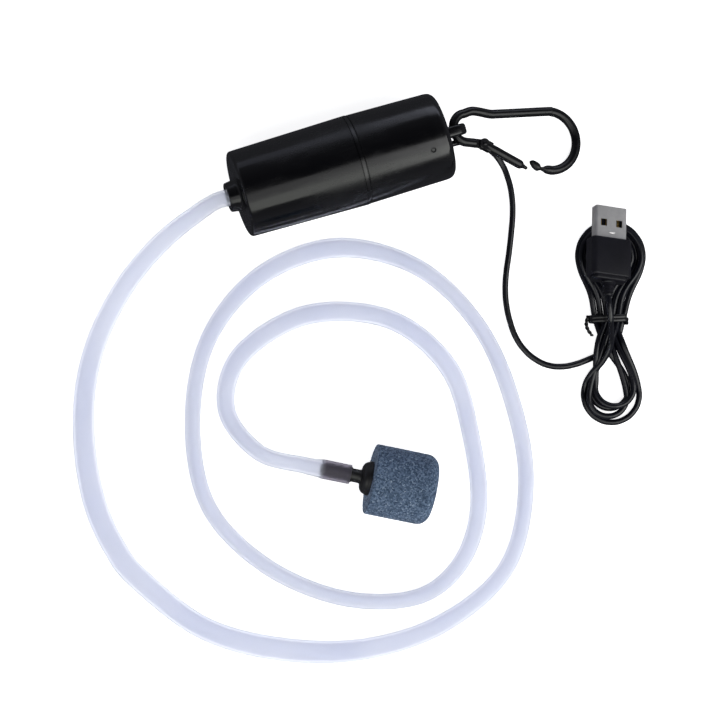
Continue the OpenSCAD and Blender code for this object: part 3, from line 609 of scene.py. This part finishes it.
# ---- Air stone ----
def stone_profile():
    """Outline from the middle of the nozzle side to the middle of the far side, in short steps."""
    r, far = STONE_D / 2, 4.5
    rough = [(0, 0), (r - 0.5, 0), *arc((r - 0.5, 0.5), 0.5, -90, 0, 3)[1:],
             *arc((r - far, STONE_LENGTH - far), far, 0, 90, 18), (0, STONE_LENGTH)]
    for (r0, h0), (r1, h1) in zip(rough, rough[1:]):
        steps = max(1, round(hypot(r1 - r0, h1 - h0) / 0.42))
        yield from ((r0 + (r1 - r0) * i / steps, h0 + (h1 - h0) * i / steps) for i in range(steps))
    yield rough[-1]


stone = turned(list(stone_profile()), 190)
stone.normal_update()
for vert in stone.verts:
    p = Vector(vert.co)
    cells = noise.voronoi(p * 1.9)[0]
    vert.co += vert.normal * (0.06 * noise.noise(p * 1.3) + 0.10 * (0.5 - cells[0]) - 0.03)
stone = piece("stone", stone, ON_STONE, STONE, ["air_stone"], crease=75)

BARB_R = 2.5
fitting_profile = [(0, 0.6), (6.2, 0.6), (6.2, -0.5), *arc((5.8, -0.7), 0.4, 0, -40, 3),
                   *arc((3.4, -0.9), 2.5, -10, -78, 10), (2.75, -3.5), (2.5, -3.9), (2.42, -4.6), (2.42, -STEM + 0.5),
                   (2.7, -STEM + 0.4), (2.7, -STEM)]
for i in range(3):
    fitting_profile += [(BARB_R, -STEM - 0.3 - 3.3 * i), (BARB_R, -STEM - 0.7 - 3.3 * i), (BARB_R - 0.55, -STEM - 3.2 - 3.3 * i)]
fitting_profile += [(1.5, -STEM - GRIP), (0.9, -STEM - GRIP), (0.9, -STEM - GRIP + 4), (0, -STEM - GRIP + 4)]
fitting = piece("stone_stem", turned(fitting_profile, 96), ON_STONE, NOZZLE_RUBBER, ["stone_nozzle"])


# ---- Case ----
JOINT_R, INNER_R, LIP_T, BAND, SPIGOT = JOINT_D / 2, JOINT_D / 2 - WALL, WALL / 2, 1.3, 4.0
INTAKE_AT, INTAKE_R = 69.4, 0.6


def front_r(s):
    return FRONT_D / 2 + (JOINT_R - FRONT_D / 2) * s / FRONT_LENGTH


def rear_r(s):
    return JOINT_R - 0.15 + (REAR_D / 2 - JOINT_R + 0.15) * (s - FRONT_LENGTH) / (CASE_LENGTH - FRONT_LENGTH)


band = FRONT_LENGTH - BAND
front_profile = [
    (3.1, END_WALL), (3.1, -BOSS + 0.5), (3.6, -BOSS), *arc((4.75, -BOSS + 0.6), 0.6, -90, 0, 6), (5.6, -1.9),
    *arc((7.2, -1.3), 1.3, 180, 90, 10), *arc((FRONT_D / 2 - 1.2, 1.2), 1.2, -90, 0, 12),
    (front_r(2), 2), (front_r(band - 1), band - 1), (front_r(band) - 0.01, band - 0.32),
    (front_r(band) - 0.28, band - 0.2), (front_r(band) - 0.28, band - 0.08), (front_r(band), band + 0.04),
    (JOINT_R - 0.02, FRONT_LENGTH - 0.25), (JOINT_R - 0.08, FRONT_LENGTH - 0.08), (JOINT_R - 0.24, FRONT_LENGTH),
    (JOINT_R - LIP_T, FRONT_LENGTH), (JOINT_R - LIP_T, FRONT_LENGTH - SPIGOT - 0.2),
    (INNER_R, FRONT_LENGTH - SPIGOT - 0.2), (FRONT_D / 2 - WALL, END_WALL + 1), (FRONT_D / 2 - WALL - 1, END_WALL),
]
piece("case_front", turned(front_profile, 256, closed=True), ON_AXIS, GLOSS, ["front_shell"])

seam = FRONT_LENGTH + 0.3
rear_profile = [
    (0, CASE_LENGTH - END_WALL), (REAR_D / 2 - WALL - 2, CASE_LENGTH - END_WALL),
    (REAR_D / 2 - WALL, CASE_LENGTH - END_WALL - 2), (INNER_R, FRONT_LENGTH + 1), (INNER_R, FRONT_LENGTH - SPIGOT),
    (JOINT_R - LIP_T - 0.3, FRONT_LENGTH - SPIGOT), (JOINT_R - LIP_T - 0.1, FRONT_LENGTH - SPIGOT + 0.4),
    (JOINT_R - LIP_T - 0.1, FRONT_LENGTH), (JOINT_R - 0.6, FRONT_LENGTH), (JOINT_R - 0.6, seam),
    (rear_r(seam) - 0.3, seam), (rear_r(seam) - 0.12, seam + 0.06), (rear_r(seam) - 0.02, seam + 0.2),
    (rear_r(seam + 0.5), seam + 0.5), (rear_r(INTAKE_AT - 1.6), INTAKE_AT - 1.6),
    (rear_r(INTAKE_AT + 1.6), INTAKE_AT + 1.6), (rear_r(CASE_LENGTH - 3.2), CASE_LENGTH - 3.2),
    *arc((REAR_D / 2 - 3, CASE_LENGTH - 3), 3, 0, 90, 18), (0, CASE_LENGTH),
]
rim = EYE_D / 2 + EYE_RIM
lug_outline = [
    (rim + 2.6, CASE_LENGTH - 1.9), (rim + 2.6, CASE_LENGTH - 0.3),
    *arc((rim + 1.5, CASE_LENGTH + 1.2), 1.5, -90, -180, 6), *arc((0, CASE_LENGTH + EYE_REACH), rim, 0, 180, 36),
    *arc((-rim - 1.5, CASE_LENGTH + 1.2), 1.5, 0, -90, 6),
    (-rim - 2.6, CASE_LENGTH - 0.3), (-rim - 2.6, CASE_LENGTH - 1.9),
]
cable_hole = spot(3.5, -4, CASE_LENGTH)
eye = spot(0, 0, CASE_LENGTH + EYE_REACH)
intake = spot(0, 0, INTAKE_AT, (17.5, "Z"))
piece("case_rear", turned(rear_profile, 256), ON_AXIS, GLOSS, ["rear_shell"],
      fuse=[plate(lug_outline, LUG_W, 1.0), moved(rod(CABLE_D / 2 + 0.85, -1.2, 0.6), cable_hole)],
      cut=[moved(rod(CABLE_D / 2 + 0.1, -5, 5), cable_hole),
           moved(turned([(0, -LUG_W / 2 - 0.3), (EYE_D / 2 + 1.25, -LUG_W / 2 - 0.3),
                         *arc((EYE_D / 2 + 1, -LUG_W / 2 + 1), 1, -90, -180, 6),
                         *arc((EYE_D / 2 + 1, LUG_W / 2 - 1), 1, 180, 90, 6),
                         (EYE_D / 2 + 1.25, LUG_W / 2 + 0.3), (0, LUG_W / 2 + 0.3)], 64),
                 eye @ Matrix.Rotation(radians(90), 4, "X")),
           moved(rod(INTAKE_R, -JOINT_R - 2, -JOINT_R + 4, (90, "Y"), steps=24), intake),
           moved(rod(INTAKE_R + 0.8, -rear_r(INTAKE_AT) - 0.5, -rear_r(INTAKE_AT) + 0.45, (90, "Y"), steps=24,
                     top=INTAKE_R), intake)])


# ---- Carabiner ----
def way(turn):
    return Vector((cos(radians(turn)), sin(radians(turn))))


def lie(x, y=0):
    """A shift along and across the carabiner's long line."""
    return Vector((x, y)) @ Matrix.Rotation(-radians(LIE_TURN), 2)


SPREAD = degrees(asin((LARGE_BEND - SMALL_BEND) / BEND_SPACING))
TOP_FROM, ARM_TURN, ARM_LENGTH, NOSE_TURN, NOSE_LENGTH = LIE_TURN + 90 + SPREAD, -20, 7, -104, 8.2
PIVOT = SMALL_C + SMALL_BEND * way(ARM_TURN - 90) + ARM_LENGTH * way(ARM_TURN)
NOSE_ROOT = LARGE_C + LARGE_BEND * way(NOSE_TURN)
TO_NOSE = NOSE_ROOT - lie(NOSE_LENGTH) - PIVOT
GATE_TURN = degrees(atan2(TO_NOSE.y, TO_NOSE.x)) - 3.5
GATE_LENGTH = TO_NOSE.length - 3.3
# The back's shoulder, then the nose's length, bend towards the gate and width
SHOULDER = [(0.3, 1.22), (0.98, 1.25), (1.74, 1.22), (2.52, 1.35)]
NOSE = [(0.5, 0, 3.3), (2, 0, 3.1), (3.3, 0, 1.9), (4.2, 0, 1.2), (4.9, 0.05, 1.6), (5.5, 0.2, 2.6), (6.2, 0.6, 2.9),
        (7, 1.1, 2.7), (7.7, 1.6, 2.2), (8.3, 2.05, 1.5), (8.6, 2.3, 0.5)]

wire = [(*(PIVOT + 1.6 * way(ARM_TURN)), WIRE_D), (*(PIVOT - 3.8 * way(ARM_TURN)), WIRE_D)]
wire += [(*p, WIRE_D) for p in arc(SMALL_C, SMALL_BEND, ARM_TURN - 90, -278, 16)]
wire += [(*(SMALL_C + SMALL_BEND * lie(*p)), WIRE_D) for p in SHOULDER]
wire += [(*p, WIRE_D) for p in arc(LARGE_C, LARGE_BEND, TOP_FROM, NOSE_TURN, 22)]
wire += [(*(NOSE_ROOT - lie(along, -inward)), width) for along, inward, width in NOSE]
wire = smooth(wire, 5)
wire_path = [Vector((row.x, row.y, 0)) for row in wire]
at_pivot = spot(PIVOT.x, PIVOT.y, 0)
piece("hook_wire", swept(wire_path, [(max(row.z, 0.4), 0.55 * WIRE_D + 0.45 * row.z) for row in wire], 28),
      ON_CARABINER, PAINT, ["carabiner_frame"], "carabiner",
      cut=[moved(rod(3.6, face * 3.65 - 3, face * 3.65 + 3), at_pivot) for face in (-1, 1)]
      + [moved(rod(0.6, -5, 5), at_pivot)])

# The gate's rod ends in a thin tongue that meets the nose
gate_path = [Vector((x, 0, 0)) for x in (1.2, 4, 8, 12, *(GATE_LENGTH + past for past in (-1.5, -0.7, -0.1, 0.5, 1.7, 1.9)))]
gate_sizes = [3.0, 3.3, 3.3, 3.3, 3.3, 2.9, 1.9, 1.4, 1.2, 0.7]
on_gate = ON_CARABINER @ at_pivot @ Matrix.Rotation(radians(GATE_TURN), 4, "Z")
piece("hook_gate", swept(gate_path, [(d, d) for d in gate_sizes], 28), on_gate, PAINT, ["carabiner_gate"], "gate",
      fuse=[turned([(0, -1.4), (1.8, -1.4), (2.0, -1.2), (2.0, 1.2), (1.8, 1.4), (0, 1.4)], 64),
            block(3, 3.7, 2.7, 0.3, 0.2, (1.6, 0, 0))],
      cut=[block(7.2, 8, 1.54, 0, 0, (-0.4, 0, 0)), rod(0.63, -4, 4)])
rivet = [(0, -1.85), *arc((0.4, -1.35), 0.5, -90, 0, 5)[1:], (0.9, -1.3), (0.6, -1.3), (0.6, 1.3), (0.9, 1.3),
         *arc((0.4, 1.35), 0.5, 0, 90, 5)[:-1], (0, 1.85)]
piece("hook_rivet", turned(rivet, 48), ON_CARABINER @ at_pivot, PAINT, ["gate_rivet"], "carabiner")


# ---- Table, light and air ----
table = bmesh.new()
bmesh.ops.create_grid(table, x_segments=1, y_segments=1, size=4000, matrix=Matrix.Translation((0, 0, -0.15)))
table = to_object("table", table, Matrix())
white = Finish("table_white", Specular_IOR_Level=0.15, Emission_Strength=0.85)
white.set(Base_Color=white.mix(white.noise(6, 2), (0.90, 0.90, 0.90), (0.93, 0.93, 0.93)), Roughness=0.85,
          Emission_Color=(1, 1, 1))
table.data.materials.append(white.material)
table.visible_glossy = False


def softbox(name, low, high, glow, near=-1.6, far=1.6, distance=1.0, colour=(1, 1, 1)):
    """A flat lamp along x that faces the pump. It spans two angles from overhead towards -y, and near to far in x."""
    middle, half = radians(low + high) / 2, radians(high - low) / 2
    width, height = far - near, 2 * distance * tan(half)
    lamp = bpy.data.lights.new(name, "AREA")
    lamp.shape, lamp.size, lamp.size_y = "RECTANGLE", width, height
    lamp.energy = glow * pi * width * height
    lamp.color = colour
    light = bpy.data.objects.new(name, lamp)
    back, side = Vector((0, -sin(middle), cos(middle))), Vector((1, 0, 0))
    light.matrix_world = Matrix((side, back.cross(side), back)).transposed().to_4x4()
    light.location = distance * back + Vector(((near + far) / 2, 0, 0.0165))
    bpy.context.scene.collection.objects.link(light)


softbox("key_high", 6, 30, 0.85)
softbox("key_low", 30, 55, 1.7, colour=(0.97, 1, 0.94))
softbox("key_side", 10, 56, 1.3, near=0.15)
softbox("far_side", -86, -68, 0.36, distance=1.3, colour=(0.76, 0.8, 1))
softbox("far_side_end", -86, -60, 1.2, near=0.2, distance=1.3, colour=(0.82, 0.86, 1))

# The room is darkest overhead
sky = bpy.data.worlds.new("studio")
bpy.context.scene.world = sky
sky.use_nodes = True
air, links = sky.node_tree.nodes, sky.node_tree.links
ramp = air.new("ShaderNodeValToRGB")
ramp.color_ramp.elements[0].color = (0.21, 0.215, 0.24, 1)
ramp.color_ramp.elements[1].color = (0.035, 0.036, 0.042, 1)
height = air.new("ShaderNodeSeparateXYZ")
steep = air.new("ShaderNodeMath")
steep.operation = "ABSOLUTE"
links.new(air.new("ShaderNodeTexCoord").outputs["Generated"], height.inputs[0])
links.new(height.outputs["Z"], steep.inputs[0])
links.new(steep.outputs[0], ramp.inputs[0])
links.new(ramp.outputs[0], air["Background"].inputs["Color"])
air["Background"].inputs["Strength"].default_value = 1.0
bpy.context.scene.view_settings.view_transform = "Standard"
